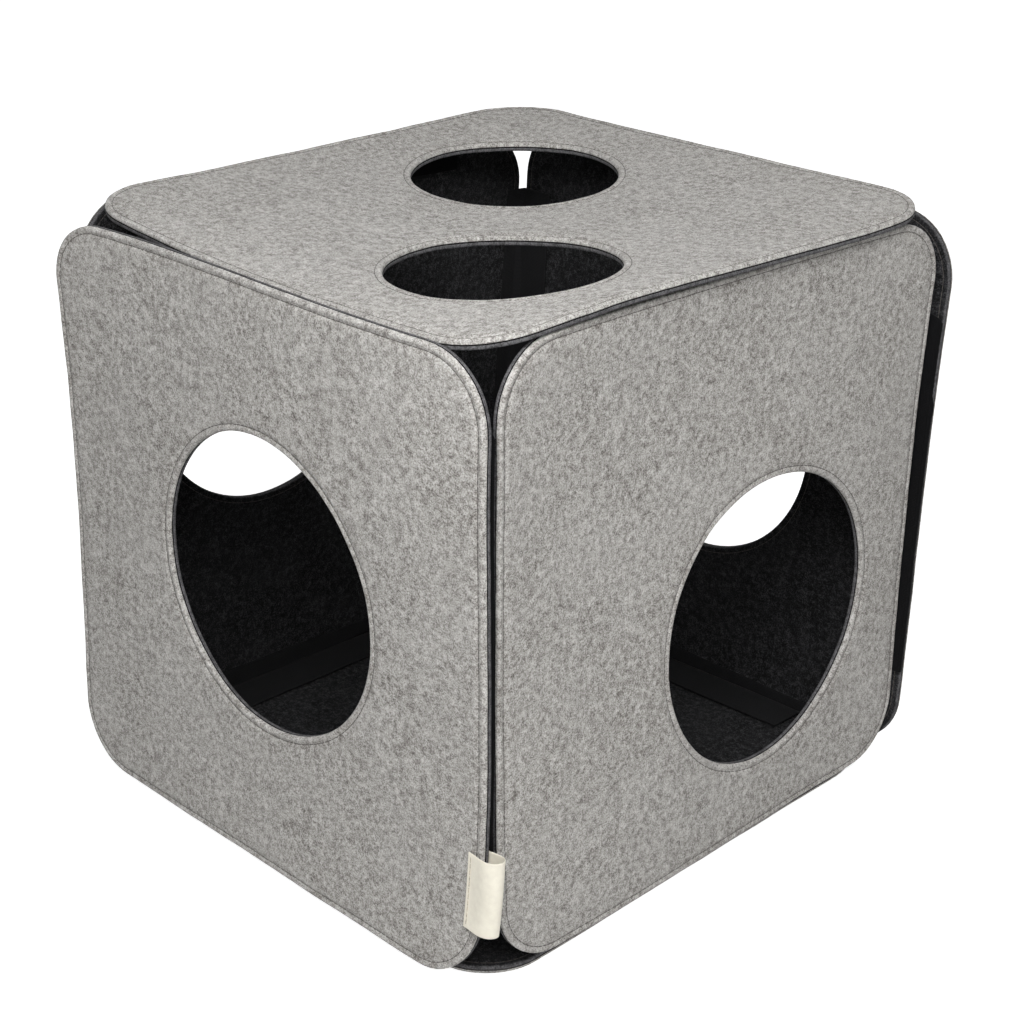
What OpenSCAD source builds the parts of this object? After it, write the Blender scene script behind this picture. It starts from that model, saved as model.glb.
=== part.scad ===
// Cube-shaped felt cat condo: six two-ply felt panels with round openings, joined inside their
// edges by hook-and-loop flaps. Millimetres, +Z up, origin under the middle of the floor panel.

/* [Cube] */
// Distance between the outer faces of two opposite panels
cube_w = 400; // [360:5:480]
// Gap from a panel's cut edge to the plane of its neighbour's inner face
edge_gap = 2; // [1:0.5:5]
// Angle by which the soft back wall leans out, in degrees
back_lean_angle = 2; // [0:0.5:4]

/* [Felt panels] */
// Thickness of the light outer felt
outer_t = 3; // [2:0.5:5]
// Thickness of the dark inner felt
inner_t = 3; // [2:0.5:5]
// Corner radius of every panel
corner_r = 44; // [25:1:70]

/* [Openings] */
// Diameter of the round opening in each wall
wall_hole_d = 192; // [120:2:210]
// Larger offset of the opening from the middle of a side wall
side_hole_long = 48; // [0:1:60]
// Smaller offset of the opening from the middle of a side wall
side_hole_short = 45; // [0:1:60]
// Larger offset of the opening from the middle of the front and back walls
end_hole_long = 6; // [0:1:40]
// Smaller offset of the opening from the middle of the front and back walls
end_hole_short = 2; // [0:1:40]
// Diameter of each round opening in the roof
roof_hole_d = 140; // [90:2:160]
// Offset of the near roof opening from the middle of the roof, to the right
near_hole_right = 79; // [62:1:85]
// Offset of the near roof opening from the middle of the roof, to the front
near_hole_front = 75; // [62:1:85]
// Offset of the far roof opening from the middle of the roof, to the left
far_hole_left = 73; // [62:1:85]
// Offset of the far roof opening from the middle of the roof, to the back
far_hole_back = 74; // [62:1:85]

/* [Seams] */
// Distance of every seam from the cut edge that it follows
seam_inset = 4.5; // [3:0.5:8]
// Width of the sewing thread
thread_w = 1; // [0.6:0.1:1.6]
// Height of the sewing thread
thread_t = 0.6; // [0.4:0.1:0.9]
// Depth to which the seam pulls into the felt
groove_d = 1; // [0.9:0.1:1.6]
// Room beside the thread in its groove
thread_clear = 0.2; // [0.1:0.1:0.5]

/* [Hook-and-loop tape] */
// Thickness of the tape's woven backing
tape_t = 1.2; // [0.8:0.1:2]
// Depth of the engaged hooks and loops between two backings
pile_gap = 0.4; // [0.4:0.1:1.5]
// Length of each hook flap
flap_len = 250; // [120:5:290]
// Reach of a wall flap's free leaf from the corner
flap_w = 30; // [20:1:34]
// Reach of a roof flap's free leaf, short enough to swing out past the loop strip
lid_flap_w = 16; // [10:1:17]
// Reach of a flap's sewn leaf from the corner
sewn_w = 14; // [10:1:24]
// Length of each loop strip
loop_len = 200; // [100:5:280]
// Width of each loop strip
loop_w = 25; // [15:1:32]
// Distance of a loop strip from the cut edge
loop_edge = 1; // [0:0.5:4]
// Play between the two leaves of a flap that folds as a hinge
leaf_clear = 0.3; // [0.2:0.1:0.8]

/* [Label] */
// Height of the ribbon label
label_h = 56; // [30:1:70]
// Thickness of the ribbon
label_t = 0.6; // [0.3:0.1:1]
// How far the label lies on the wall's outer face
label_front = 18; // [10:1:30]
// How far the label lies on the wall's inner face
label_rear = 10; // [6:1:16]
// How far the label's fold stands out from the cut edge
label_out = 12; // [6:1:16]
// Space between the label and the loop strip above it
label_gap = 3; // [1:0.5:10]
// Distance of the label's seam from the ribbon's end
label_seam_inset = 2.5; // [1.5:0.5:5]

/* [Hidden] */
$fn = 96;
panel_t = outer_t + inner_t;
half_w = cube_w / 2;
// Distance from the cube's middle to a panel's inner face
inner_half = half_w - panel_t;
panel_w = 2 * (inner_half - edge_gap);
groove_w = thread_w + 2 * thread_clear;
// Distance from a panel's inner face to the flap that grips its loop strip
fold_off = tape_t + pile_gap;
// Cuts run this far past the face that they open
overrun = 1;

// Turns about a panel's middle that bring its right-hand edge to each side, seen from outside
to_right = 0;
to_top = 90;
to_left = 180;
to_bottom = 270;

// Openings as [across, up, diameter], seen from outside. Opposite walls are the same panel,
// one of them a quarter turn round.
function quarter_turn(hole) = [-hole[1], hole[0], hole[2]];
front_holes = [[end_hole_long, end_hole_short, wall_hole_d]];
back_holes = [quarter_turn(front_holes[0])];
right_holes = [[side_hole_long, -side_hole_short, wall_hole_d]];
left_holes = [quarter_turn(right_holes[0])];
roof_holes = [
    [near_hole_right, -near_hole_front, roof_hole_d],
    [-far_hole_left, far_hole_back, roof_hole_d]
];
floor_holes = [];

outer_grey = "#a7a39d";
inner_grey = "#3b3b3d";
thread_grey = "#4c4a48";
tape_black = "#151516";
label_cream = "#ece5d3";

// Places on the cube. A panel is drawn flat, with X across, Y up and its outer face at Z = 0.
module on_wall(turn) {
    rotate([0, 0, turn])
        translate([0, -half_w, half_w])
            rotate([90, 0, 0])
                children();
}

module on_front() {
    on_wall(0) children();
}

module on_right() {
    on_wall(90) children();
}

module on_upright_back() {
    on_wall(180) children();
}

// The back wall leans out about the line where its inner face meets the floor's
module leaning_back() {
    translate([0, inner_half, panel_t])
        rotate([-back_lean_angle, 0, 0])
            translate([0, -inner_half, -panel_t])
                children();
}

module on_back() {
    leaning_back() on_upright_back() children();
}

module on_left() {
    on_wall(270) children();
}

module on_roof() {
    translate([0, 0, cube_w]) children();
}

module on_floor() {
    rotate([180, 0, 0]) children();
}

// Flat shapes of a panel
module rounded_square(w, r) {
    square([w - 2 * r, w], center = true);
    square([w, w - 2 * r], center = true);
    for (sx = [-1, 1], sy = [-1, 1])
        translate([sx * (w / 2 - r), sy * (w / 2 - r)])
            circle(r);
}

module felt_outline(holes) {
    difference() {
        rounded_square(panel_w, corner_r);
        for (hole = holes)
            translate([hole[0], hole[1]])
                circle(d = hole[2]);
    }
}

// Band of a given width along the seams: one round the panel and one round each opening
module seam_band(holes, width) {
    difference() {
        rounded_square(panel_w - 2 * seam_inset + width, corner_r - seam_inset + width / 2);
        rounded_square(panel_w - 2 * seam_inset - width, corner_r - seam_inset - width / 2);
    }
    for (hole = holes)
        translate([hole[0], hole[1]])
            difference() {
                circle(d = hole[2] + 2 * seam_inset + width);
                circle(d = hole[2] + 2 * seam_inset - width);
            }
}

// Plies and thread of one panel
module outer_felt(holes) {
    color(outer_grey)
        difference() {
            translate([0, 0, -outer_t])
                linear_extrude(outer_t)
                    felt_outline(holes);
            translate([0, 0, -groove_d])
                linear_extrude(groove_d + overrun)
                    seam_band(holes, groove_w);
        }
}

module inner_felt(holes) {
    color(inner_grey)
        difference() {
            translate([0, 0, -panel_t])
                linear_extrude(inner_t)
                    felt_outline(holes);
            translate([0, 0, -panel_t - overrun])
                linear_extrude(groove_d + overrun)
                    seam_band(holes, groove_w);
        }
}

module seam_thread(holes) {
    color(thread_grey) {
        translate([0, 0, -groove_d])
            linear_extrude(thread_t)
                seam_band(holes, thread_w);
        translate([0, 0, groove_d - thread_t - panel_t])
            linear_extrude(thread_t)
                seam_band(holes, thread_w);
    }
}

// Tape profiles at a panel's right-hand edge, in [across, depth], and their runs along an edge
module sewn_leaf_profile() {
    translate([inner_half - sewn_w, -panel_t - tape_t])
        square([sewn_w - fold_off, tape_t]);
}

module free_leaf_profile(reach, start) {
    translate([inner_half - fold_off - tape_t, -panel_t - reach])
        square([tape_t, reach - start]);
}

module fold_profile() {
    translate([inner_half - fold_off - tape_t, -panel_t - tape_t])
        square(tape_t);
}

module loop_profile() {
    translate([inner_half - edge_gap - loop_edge - loop_w, -panel_t - tape_t])
        square([loop_w, tape_t]);
}

module tape_along(edge, length) {
    color(tape_black)
        rotate([0, 0, edge])
            rotate([90, 0, 0])
                linear_extrude(length, center = true)
                    children();
}

// Hook flap that is folded into the corner and lifts off with its own panel
module folded_flap(edge, reach) {
    tape_along(edge, flap_len) {
        sewn_leaf_profile();
        free_leaf_profile(reach, 0);
    }
}

// The leaves of a hook flap that folds as a hinge or reaches across to the leaning back wall
module sewn_leaf(edge) {
    tape_along(edge, flap_len)
        sewn_leaf_profile();
}

module free_leaf(edge, reach) {
    tape_along(edge, flap_len)
        free_leaf_profile(reach, 0);
}

module gripping_leaf(edge, reach) {
    tape_along(edge, flap_len)
        free_leaf_profile(reach, tape_t + leaf_clear);
}

// Stretch of a flap from its own panel's fold to the fold at the leaning back wall
module fold_to_back() {
    color(tape_black)
        hull() {
            children();
            leaning_back() children();
        }
}

module fold(edge) {
    tape_along(edge, flap_len)
        fold_profile();
}

module loop_strip(edge) {
    tape_along(edge, loop_len)
        loop_profile();
}

// Front wall
module front_wall_outer_felt() {
    on_front() outer_felt(front_holes);
}

module front_wall_inner_felt() {
    on_front() inner_felt(front_holes);
}

module front_wall_seam_thread() {
    on_front() seam_thread(front_holes);
}

module front_wall_right_loop() {
    on_front() loop_strip(to_right);
}

module front_wall_left_loop() {
    on_front() loop_strip(to_left);
}

module front_wall_top_loop() {
    on_front() loop_strip(to_top);
}

module front_wall_hinge_leaf() {
    on_front() sewn_leaf(to_bottom);
}

// Right wall
module right_wall_outer_felt() {
    on_right() outer_felt(right_holes);
}

module right_wall_inner_felt() {
    on_right() inner_felt(right_holes);
}

module right_wall_seam_thread() {
    on_right() seam_thread(right_holes);
}

module right_wall_front_flap() {
    on_right() folded_flap(to_left, flap_w);
}

module right_wall_back_flap() {
    on_right() sewn_leaf(to_right);
    fold_to_back() on_right() fold(to_right);
    leaning_back() on_right() free_leaf(to_right, flap_w);
}

module right_wall_top_loop() {
    on_right() loop_strip(to_top);
}

module right_wall_hinge_leaf() {
    on_right() sewn_leaf(to_bottom);
}

// Back wall
module back_wall_outer_felt() {
    on_back() outer_felt(back_holes);
}

module back_wall_inner_felt() {
    on_back() inner_felt(back_holes);
}

module back_wall_seam_thread() {
    on_back() seam_thread(back_holes);
}

module back_wall_right_loop() {
    on_back() loop_strip(to_left);
}

module back_wall_left_loop() {
    on_back() loop_strip(to_right);
}

module back_wall_top_loop() {
    on_back() loop_strip(to_top);
}

module back_wall_hinge_leaf() {
    on_back() sewn_leaf(to_bottom);
}

// Left wall
module left_wall_outer_felt() {
    on_left() outer_felt(left_holes);
}

module left_wall_inner_felt() {
    on_left() inner_felt(left_holes);
}

module left_wall_seam_thread() {
    on_left() seam_thread(left_holes);
}

module left_wall_front_flap() {
    on_left() folded_flap(to_right, flap_w);
}

module left_wall_back_flap() {
    on_left() sewn_leaf(to_left);
    fold_to_back() on_left() fold(to_left);
    leaning_back() on_left() free_leaf(to_left, flap_w);
}

module left_wall_top_loop() {
    on_left() loop_strip(to_top);
}

module left_wall_hinge_leaf() {
    on_left() sewn_leaf(to_bottom);
}

// Roof, which hinges on the back wall
module roof_outer_felt() {
    on_roof() outer_felt(roof_holes);
}

module roof_inner_felt() {
    on_roof() inner_felt(roof_holes);
}

module roof_seam_thread() {
    on_roof() seam_thread(roof_holes);
}

module roof_front_flap() {
    on_roof() folded_flap(to_bottom, lid_flap_w);
}

module roof_right_flap() {
    on_roof() folded_flap(to_right, lid_flap_w);
}

module roof_left_flap() {
    on_roof() folded_flap(to_left, lid_flap_w);
}

module roof_hinge_leaf() {
    on_roof() sewn_leaf(to_top);
    fold_to_back() on_roof() fold(to_top);
}

module back_wall_roof_leaf() {
    leaning_back() on_roof() gripping_leaf(to_top, lid_flap_w);
}

// Floor, with the leaves of the wall flaps that grip its loop strips
module floor_outer_felt() {
    on_floor() outer_felt(floor_holes);
}

module floor_inner_felt() {
    on_floor() inner_felt(floor_holes);
}

module floor_seam_thread() {
    on_floor() seam_thread(floor_holes);
}

module floor_front_hinge_leaf() {
    on_front() gripping_leaf(to_bottom, flap_w);
}

module floor_right_hinge_leaf() {
    on_right() gripping_leaf(to_bottom, flap_w);
}

module floor_back_hinge_leaf() {
    on_upright_back() gripping_leaf(to_bottom, flap_w);
}

module floor_left_hinge_leaf() {
    on_left() gripping_leaf(to_bottom, flap_w);
}

module floor_front_loop() {
    on_floor() loop_strip(to_top);
}

module floor_right_loop() {
    on_floor() loop_strip(to_right);
}

module floor_back_loop() {
    on_floor() loop_strip(to_bottom);
}

module floor_left_loop() {
    on_floor() loop_strip(to_left);
}

// Ribbon label, folded round the front wall's right-hand edge under the loop strip
label_edge = panel_w / 2;
label_mid_y = -loop_len / 2 - label_gap - label_h / 2;
label_fold_r = panel_t / 2 + label_t;
label_fold_x = label_edge + label_out - label_fold_r;

module label_profile() {
    translate([label_edge - label_front, 0])
        square([label_front + label_fold_x - label_edge, label_t]);
    translate([label_edge - label_rear, -panel_t - label_t])
        square([label_rear + label_fold_x - label_edge, label_t]);
    translate([label_fold_x, -panel_t / 2])
        difference() {
            circle(label_fold_r);
            circle(panel_t / 2);
            translate([-label_fold_r, -label_fold_r])
                square([label_fold_r, 2 * label_fold_r]);
        }
}

module label_stitch_profile() {
    translate([label_edge - label_front + label_seam_inset, label_t])
        square([thread_w, thread_t]);
    translate([label_edge - label_rear + label_seam_inset, -panel_t - label_t - thread_t])
        square([thread_w, thread_t]);
}

module label_run(length) {
    translate([0, label_mid_y, 0])
        rotate([90, 0, 0])
            linear_extrude(length, center = true)
                children();
}

module label() {
    color(label_cream)
        on_front() label_run(label_h) label_profile();
}

module label_stitch() {
    color(thread_grey)
        on_front() label_run(label_h - 2 * label_seam_inset) label_stitch_profile();
}

front_wall_outer_felt();
front_wall_inner_felt();
front_wall_seam_thread();
right_wall_outer_felt();
right_wall_inner_felt();
right_wall_seam_thread();
back_wall_outer_felt();
back_wall_inner_felt();
back_wall_seam_thread();
left_wall_outer_felt();
left_wall_inner_felt();
left_wall_seam_thread();
roof_outer_felt();
roof_inner_felt();
roof_seam_thread();
floor_outer_felt();
floor_inner_felt();
floor_seam_thread();
right_wall_front_flap();
right_wall_back_flap();
left_wall_front_flap();
left_wall_back_flap();
front_wall_right_loop();
front_wall_left_loop();
back_wall_right_loop();
back_wall_left_loop();
front_wall_hinge_leaf();
right_wall_hinge_leaf();
back_wall_hinge_leaf();
left_wall_hinge_leaf();
floor_front_hinge_leaf();
floor_right_hinge_leaf();
floor_back_hinge_leaf();
floor_left_hinge_leaf();
floor_front_loop();
floor_right_loop();
floor_back_loop();
floor_left_loop();
roof_front_flap();
roof_right_flap();
roof_left_flap();
roof_hinge_leaf();
back_wall_roof_leaf();
front_wall_top_loop();
right_wall_top_loop();
back_wall_top_loop();
left_wall_top_loop();
label();
label_stitch();
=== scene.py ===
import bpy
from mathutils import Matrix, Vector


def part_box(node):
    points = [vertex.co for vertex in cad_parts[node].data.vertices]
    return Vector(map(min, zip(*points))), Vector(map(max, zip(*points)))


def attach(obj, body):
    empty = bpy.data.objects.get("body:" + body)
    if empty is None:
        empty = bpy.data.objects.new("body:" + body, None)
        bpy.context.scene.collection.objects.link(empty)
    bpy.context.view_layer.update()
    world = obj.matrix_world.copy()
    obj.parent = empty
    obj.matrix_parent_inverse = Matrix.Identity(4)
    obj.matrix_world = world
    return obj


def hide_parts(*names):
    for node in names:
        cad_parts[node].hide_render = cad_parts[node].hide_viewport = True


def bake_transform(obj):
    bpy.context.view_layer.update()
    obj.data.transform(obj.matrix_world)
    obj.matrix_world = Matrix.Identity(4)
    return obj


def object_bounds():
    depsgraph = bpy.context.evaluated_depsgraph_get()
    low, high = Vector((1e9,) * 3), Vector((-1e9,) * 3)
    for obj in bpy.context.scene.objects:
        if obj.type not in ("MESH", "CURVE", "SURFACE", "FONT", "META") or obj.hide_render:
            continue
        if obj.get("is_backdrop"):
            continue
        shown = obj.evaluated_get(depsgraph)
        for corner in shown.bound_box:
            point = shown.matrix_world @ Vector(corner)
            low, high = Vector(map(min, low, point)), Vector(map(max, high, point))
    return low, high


bl_info = {
    "name": "Felt Cat Condo",
    "version": (1, 0, 0),
    "blender": (4, 5, 0),
    "location": "View3D > Sidebar > Cat Condo",
    "description": "Dresses the packed cube with soft felt, stitched seams, tape and a ribbon label",
    "category": "Object",
}

import math
from collections import namedtuple

import bmesh
import bpy
import numpy as np
from bpy.props import FloatProperty, FloatVectorProperty, PointerProperty
from mathutils import Matrix, Vector, noise

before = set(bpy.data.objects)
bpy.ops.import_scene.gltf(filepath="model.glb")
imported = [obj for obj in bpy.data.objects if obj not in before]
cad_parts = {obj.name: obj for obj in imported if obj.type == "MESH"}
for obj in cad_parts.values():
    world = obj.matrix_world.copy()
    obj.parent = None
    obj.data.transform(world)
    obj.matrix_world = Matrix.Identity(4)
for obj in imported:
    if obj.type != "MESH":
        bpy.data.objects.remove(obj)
CAD_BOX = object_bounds()
MM = 0.001

# Places of the six panels: directions across, up and out, as a panel is seen from outside
Face = namedtuple("Face", "across up out")
FACES = {
    "front_wall": Face((1, 0, 0), (0, 0, 1), (0, -1, 0)),
    "right_wall": Face((0, 1, 0), (0, 0, 1), (1, 0, 0)),
    "back_wall": Face((-1, 0, 0), (0, 0, 1), (0, 1, 0)),
    "left_wall": Face((0, -1, 0), (0, 0, 1), (-1, 0, 0)),
    "roof": Face((1, 0, 0), (0, 1, 0), (0, 0, 1)),
    "floor": Face((1, 0, 0), (0, -1, 0), (0, 0, -1)),
}
WALLS = ("front_wall", "right_wall", "back_wall", "left_wall")

# Quarter turns that bring a panel's right-hand edge to each side, seen from outside
RIGHT, TOP, LEFT, BOTTOM = range(4)


def span(node):
    """Size of a CAD node's box."""
    low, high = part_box(node)
    return high - low


OUTER_SPAN = span("front_wall_outer_felt")
INNER_SPAN = span("front_wall_inner_felt")
LOOP_SPAN = span("front_wall_right_loop")
CUBE_HALF = -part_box("front_wall_outer_felt")[0].y
PANEL_HALF = OUTER_SPAN.x / 2


def length(name, millimetres, description):
    """A size that a user may change, given in millimetres."""
    return FloatProperty(name=name, description=description, default=millimetres * MM, min=0.0, unit="LENGTH")


def offset(name, across, up, description):
    """Place of an opening on its panel, given in millimetres across and up from the middle."""
    return FloatVectorProperty(name=name, description=description, size=2,
                               default=(across * MM, up * MM), unit="LENGTH")


def colour(name, red, green, blue, description):
    """A linear colour that a user may change."""
    return FloatVectorProperty(name=name, description=description, size=3, min=0.0, max=1.0,
                               default=(red, green, blue), subtype="COLOR")


class CatCondoSizes(bpy.types.PropertyGroup):
    """Sizes of the felt, seams, tape and label."""

    outer_t: length("Outer felt", OUTER_SPAN.y / MM, "Thickness of the light outer felt")
    inner_t: length("Inner felt", INNER_SPAN.y / MM, "Thickness of the dark inner felt")
    corner_r: length("Corner radius", 44, "Corner radius of every panel")
    wall_hole_d: length("Wall opening", 192, "Diameter of the round opening in each wall")
    roof_hole_d: length("Roof opening", 140, "Diameter of each round opening in the roof")
    end_hole: offset("End opening", 6, 2, "Middle of the front wall's opening, turned a quarter at the back")
    side_hole: offset("Side opening", 48, -45, "Middle of the right opening, turned a quarter at the left")
    near_hole: offset("Near roof opening", 79, -75, "Middle of the roof's front opening")
    far_hole: offset("Far roof opening", -73, 74, "Middle of the roof's back opening")
    face_round: length("Face rounding", 2.3, "Rounding of the outer felt's cut edge on its outer face")
    lining_round: length("Lining rounding", 0.9, "Rounding of the inner felt's cut edge on its inner face")
    ply_round: length("Ply rounding", 0.35, "Rounding of a cut edge where the two plies meet")
    ripple: length("Ripple", 0.5, "Height of the gentle waves in the soft felt")
    seam_inset: length("Seam inset", 4.5, "Distance of every seam from the cut edge that it follows")
    seam_dip: length("Seam dip", 0.85, "Depth to which a seam pulls the felt in")
    seam_dip_w: length("Seam dip width", 1.5, "Reach of the dip to each side of the seam")
    stitch_pitch: length("Stitch pitch", 4.0, "Distance from one stitch to the next")
    stitch_len: length("Stitch length", 4.1, "Length of the thread that shows in one stitch")
    thread_w: length("Thread width", 0.65, "Width of a stitch")
    tape_t: length("Tape thickness", LOOP_SPAN.y / MM, "Thickness of the tape's woven backing")
    pile_gap: length("Pile", 0.4, "Depth of the engaged hooks and loops between two tapes")
    flap_len: length("Flap length", span("right_wall_front_flap").z / MM, "Length of each hook flap")
    sewn_w: length("Sewn leaf", 12, "Width of the leaf that is sewn on a panel, from its cut edge")
    wall_leaf_w: length("Wall flap leaf", 27, "Width of a wall flap's gripping leaf")
    roof_leaf_w: length("Roof flap leaf", 13, "Width of a roof flap's gripping leaf")
    roof_leaf_drop: length("Roof flap drop", 10, "Start of a roof flap's gripping leaf below the wall's top")
    far_flap_lift: length("Far flap lift", 19.5, "How much higher the far corner's flap sits")
    far_flap_drop: length("Far flap drop", 7, "How much lower its free leaf sits than its sewn leaf")
    near_flap_lift: length("Near flap lift", 22, "How much higher the near flap sits, clear of the label")
    roof_flap_in: length("Roof flap fold", 19, "How far in from the roof's right edge its flap folds down")
    loop_len: length("Loop strip length", LOOP_SPAN.z / MM, "Length of each loop strip")
    loop_w: length("Loop strip width", LOOP_SPAN.x / MM, "Width of each loop strip")
    loop_edge: length("Loop strip edge", 1, "Distance of a loop strip from the cut edge")
    ribbon_t: length("Ribbon thickness", 0.6, "Thickness of the label's ribbon")
    label_h: length("Label height", 48, "Width of the label's ribbon, which stands upright")
    label_front: length("Label front leaf", 9, "Reach of the front leaf over the felt, from the cut edge")
    label_rear: length("Label rear leaf", 9, "Reach of the rear leaf over the felt, from the cut edge")
    label_seam: length("Label seam", 2.2, "Distance of the label's seam from the ribbon's end")


class CatCondoColours(bpy.types.PropertyGroup):
    """Colours of the felt, thread, tape and ribbon."""

    outer_mid: colour("Outer felt", 0.35, 0.335, 0.312, "Main colour of the heather outer felt")
    # Pale fibres of the outer felt, and also the tone of the painted highlight on its cut edges
    outer_pale_fibres_and_highlight: colour("Outer light fibres", 0.62, 0.61, 0.59, "Pale fibres in the outer felt")
    outer_dark: colour("Outer dark fibres", 0.10, 0.088, 0.078, "Dark brown fibres in the outer felt")
    inner_mid: colour("Inner felt", 0.014, 0.014, 0.015, "Main colour of the charcoal inner felt")
    inner_light: colour("Inner light fibres", 0.075, 0.075, 0.079, "Grey fibres in the inner felt")
    inner_dark: colour("Inner dark fibres", 0.003, 0.003, 0.003, "Black fibres in the inner felt")
    # Painted highlight: a lit tone of the charcoal felt, given to its cut edges
    inner_edge_highlight: colour("Inner felt edge", 0.11, 0.108, 0.112, "Cut edge of the inner felt")
    thread: colour("Thread", 0.07, 0.062, 0.055, "Sewing thread")
    tape: colour("Hook tape", 0.004, 0.004, 0.0045, "Black hook tape of the other flaps")
    lining_tape: colour("Lining tape", 0.016, 0.016, 0.017, "Charcoal tape of hinges, loops and far corner")
    ribbon: colour("Ribbon", 0.90, 0.84, 0.72, "Woven ribbon of the label")
    label_thread: colour("Label thread", 0.46, 0.39, 0.29, "Thread of the label's seam")


def seat_group(title, shift, turn, top, upper, lower, bottom):
    """Makes the property group for one soft panel's seat: its slide and turn in its plane, and its bow."""

    def row(name, lifts):
        return FloatVectorProperty(
            name=name, size=4, unit="LENGTH", default=[lift * MM for lift in lifts],
            description="How far the panel stands out at four even places, left to right, seen from outside")

    fields = {
        "shift": FloatVectorProperty(name="Shift", description="Slide across and up in the panel's plane",
                                     size=2, default=[step * MM for step in shift], unit="LENGTH"),
        "turn": FloatProperty(name="Turn", description="Turn about the panel's middle",
                              default=math.radians(turn), subtype="ANGLE"),
        "top": row("Top edge", top),
        "upper": row("Upper third", upper),
        "lower": row("Lower third", lower),
        "bottom": row("Bottom edge", bottom),
    }
    body = {"__annotations__": fields, "__doc__": f"How the {title} panel sits."}
    return type(f"CatCondo{title.title()}Seat", (bpy.types.PropertyGroup,), body)


# The soft panels lean and sag off the true cube, in millimetres and degrees
SEATS = {
    "front_wall": seat_group("front", (5, 3.5), 0.0,
                             (9, 1, 5, -1), (2, 2, 5, 1), (3, 2, 3, -1), (6, 8, 10, 11)),
    "right_wall": seat_group("right", (4.5, 7.5), 0.4,
                             (-4, -5, -1, 6), (-4, -9, -5, -1), (-3, -1, -2, -3), (2, 3, 0, -1)),
    "back_wall": seat_group("back", (-11, 2), 0.5,
                            (18, 18, 19, 21), (9, 9, 12, 17), (6, 5, 7, 11), (4, 3, 4, 5)),
    "left_wall": seat_group("left", (-12, 1), 1.3,
                            (-16, -9, -2, 5), (-9, -5, 0, 6), (-2, 0, 3, 6), (5, 5, 5, 5)),
    "roof": seat_group("roof", (10.5, 1), -2.6,
                       (11, 11, 12, 12), (8, -5, -1, 7), (5, -5, -5, 8), (4, -6, -6, -1)),
    "floor": seat_group("floor", (0, 0), 0.0,
                        (-0.7, -0.7, -0.7, -0.7), (-0.7, -0.7, -1.5, -2.5),
                        (-0.7, -1.5, -3.5, -5.5), (-0.7, -2.5, -5.5, -7.5)),
}


class CatCondoSeats(bpy.types.PropertyGroup):
    """How each of the six soft panels sits."""

    front_wall: PointerProperty(type=SEATS["front_wall"])
    right_wall: PointerProperty(type=SEATS["right_wall"])
    back_wall: PointerProperty(type=SEATS["back_wall"])
    left_wall: PointerProperty(type=SEATS["left_wall"])
    roof: PointerProperty(type=SEATS["roof"])
    floor: PointerProperty(type=SEATS["floor"])


def sizes():
    """The sizes that the user has set."""
    return bpy.context.scene.cat_condo_sizes


def colours():
    """The colours that the user has set."""
    return bpy.context.scene.cat_condo_colours


# Mesh steps
CORNER_STEPS = 12
SIDE_CUTS = 36
RING_STEPS = 96
GRID_STEPS = 48
GRID_MARGIN = 0.6
RIM_INSETS = [w * MM for w in (0.25, 0.6, 1.1, 1.9, 2.9, 3.5, 4.0, 4.5, 5.0, 5.6, 6.6, 8.5, 12.0)]
CHAIN_LENGTH = 30
STITCH_SIDES = 6
STITCH_RINGS = 5

# Waves of the felt, in waves to the metre
WIDE_WAVES = 24.0
FINE_WAVES = 61.0
FINE_SHARE = 0.5


def panel_holes(panel):
    """Openings of a panel as (across, up, radius), seen from outside."""
    s = sizes()
    wall_r = s.wall_hole_d / 2
    roof_r = s.roof_hole_d / 2
    end, side = s.end_hole, s.side_hole
    return {
        "front_wall": [(end[0], end[1], wall_r)],
        "right_wall": [(side[0], side[1], wall_r)],
        "back_wall": [(-end[1], end[0], wall_r)],
        "left_wall": [(-side[1], side[0], wall_r)],
        "roof": [(*s.near_hole, roof_r), (*s.far_hole, roof_r)],
        "floor": [],
    }[panel]


def cut_distance(panel, across, up):
    """Distance of flat points from the nearest cut edge of their panel."""
    radius = sizes().corner_r
    core = PANEL_HALF - radius
    dx = np.abs(across) - core
    dy = np.abs(up) - core
    inside = np.minimum(np.maximum(dx, dy), 0.0)
    distance = radius - np.hypot(np.maximum(dx, 0.0), np.maximum(dy, 0.0)) - inside
    for x, y, r in panel_holes(panel):
        distance = np.minimum(distance, np.hypot(across - x, up - y) - r)
    return np.maximum(distance, 0.0)


def third_weights(t):
    """Weights of four even places from -1 to 1 that carry a smooth curve through them."""
    places = (-1.0, -1 / 3, 1 / 3, 1.0)
    weights = []
    for at in places:
        weight = np.ones_like(t)
        for other in places:
            if other != at:
                weight = weight * (t - other) / (at - other)
        weights.append(weight)
    return np.array(weights)


def seated(panel, flat):
    """Carries points of a panel's flat pattern, as across, up and out, to where the soft panel sits."""
    seat = getattr(bpy.context.scene.cat_condo_seats, panel)
    across, up, out = np.asarray(flat, float).reshape(-1, 3).T
    lifts = np.array([seat.bottom, seat.lower, seat.upper, seat.top])
    rows, columns = third_weights(up / PANEL_HALF), third_weights(across / PANEL_HALF)
    lift = np.einsum("ij,in,jn->n", lifts, rows, columns)
    cos, sin = math.cos(seat.turn), math.sin(seat.turn)
    x = across * cos - up * sin + seat.shift[0]
    y = across * sin + up * cos + seat.shift[1]
    z = CUBE_HALF + out + lift
    axes = np.array(FACES[panel], float)
    return np.stack([x, y, z], 1) @ axes + np.array((0.0, 0.0, CUBE_HALF))


def get_points(mesh):
    """Points of a mesh, one row each."""
    points = np.empty(len(mesh.vertices) * 3)
    mesh.vertices.foreach_get("co", points)
    return points.reshape(-1, 3)


def set_points(mesh, points):
    """Moves a mesh's points to the given rows."""
    mesh.vertices.foreach_set("co", points.astype(np.float32).ravel())
    mesh.update()


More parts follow.
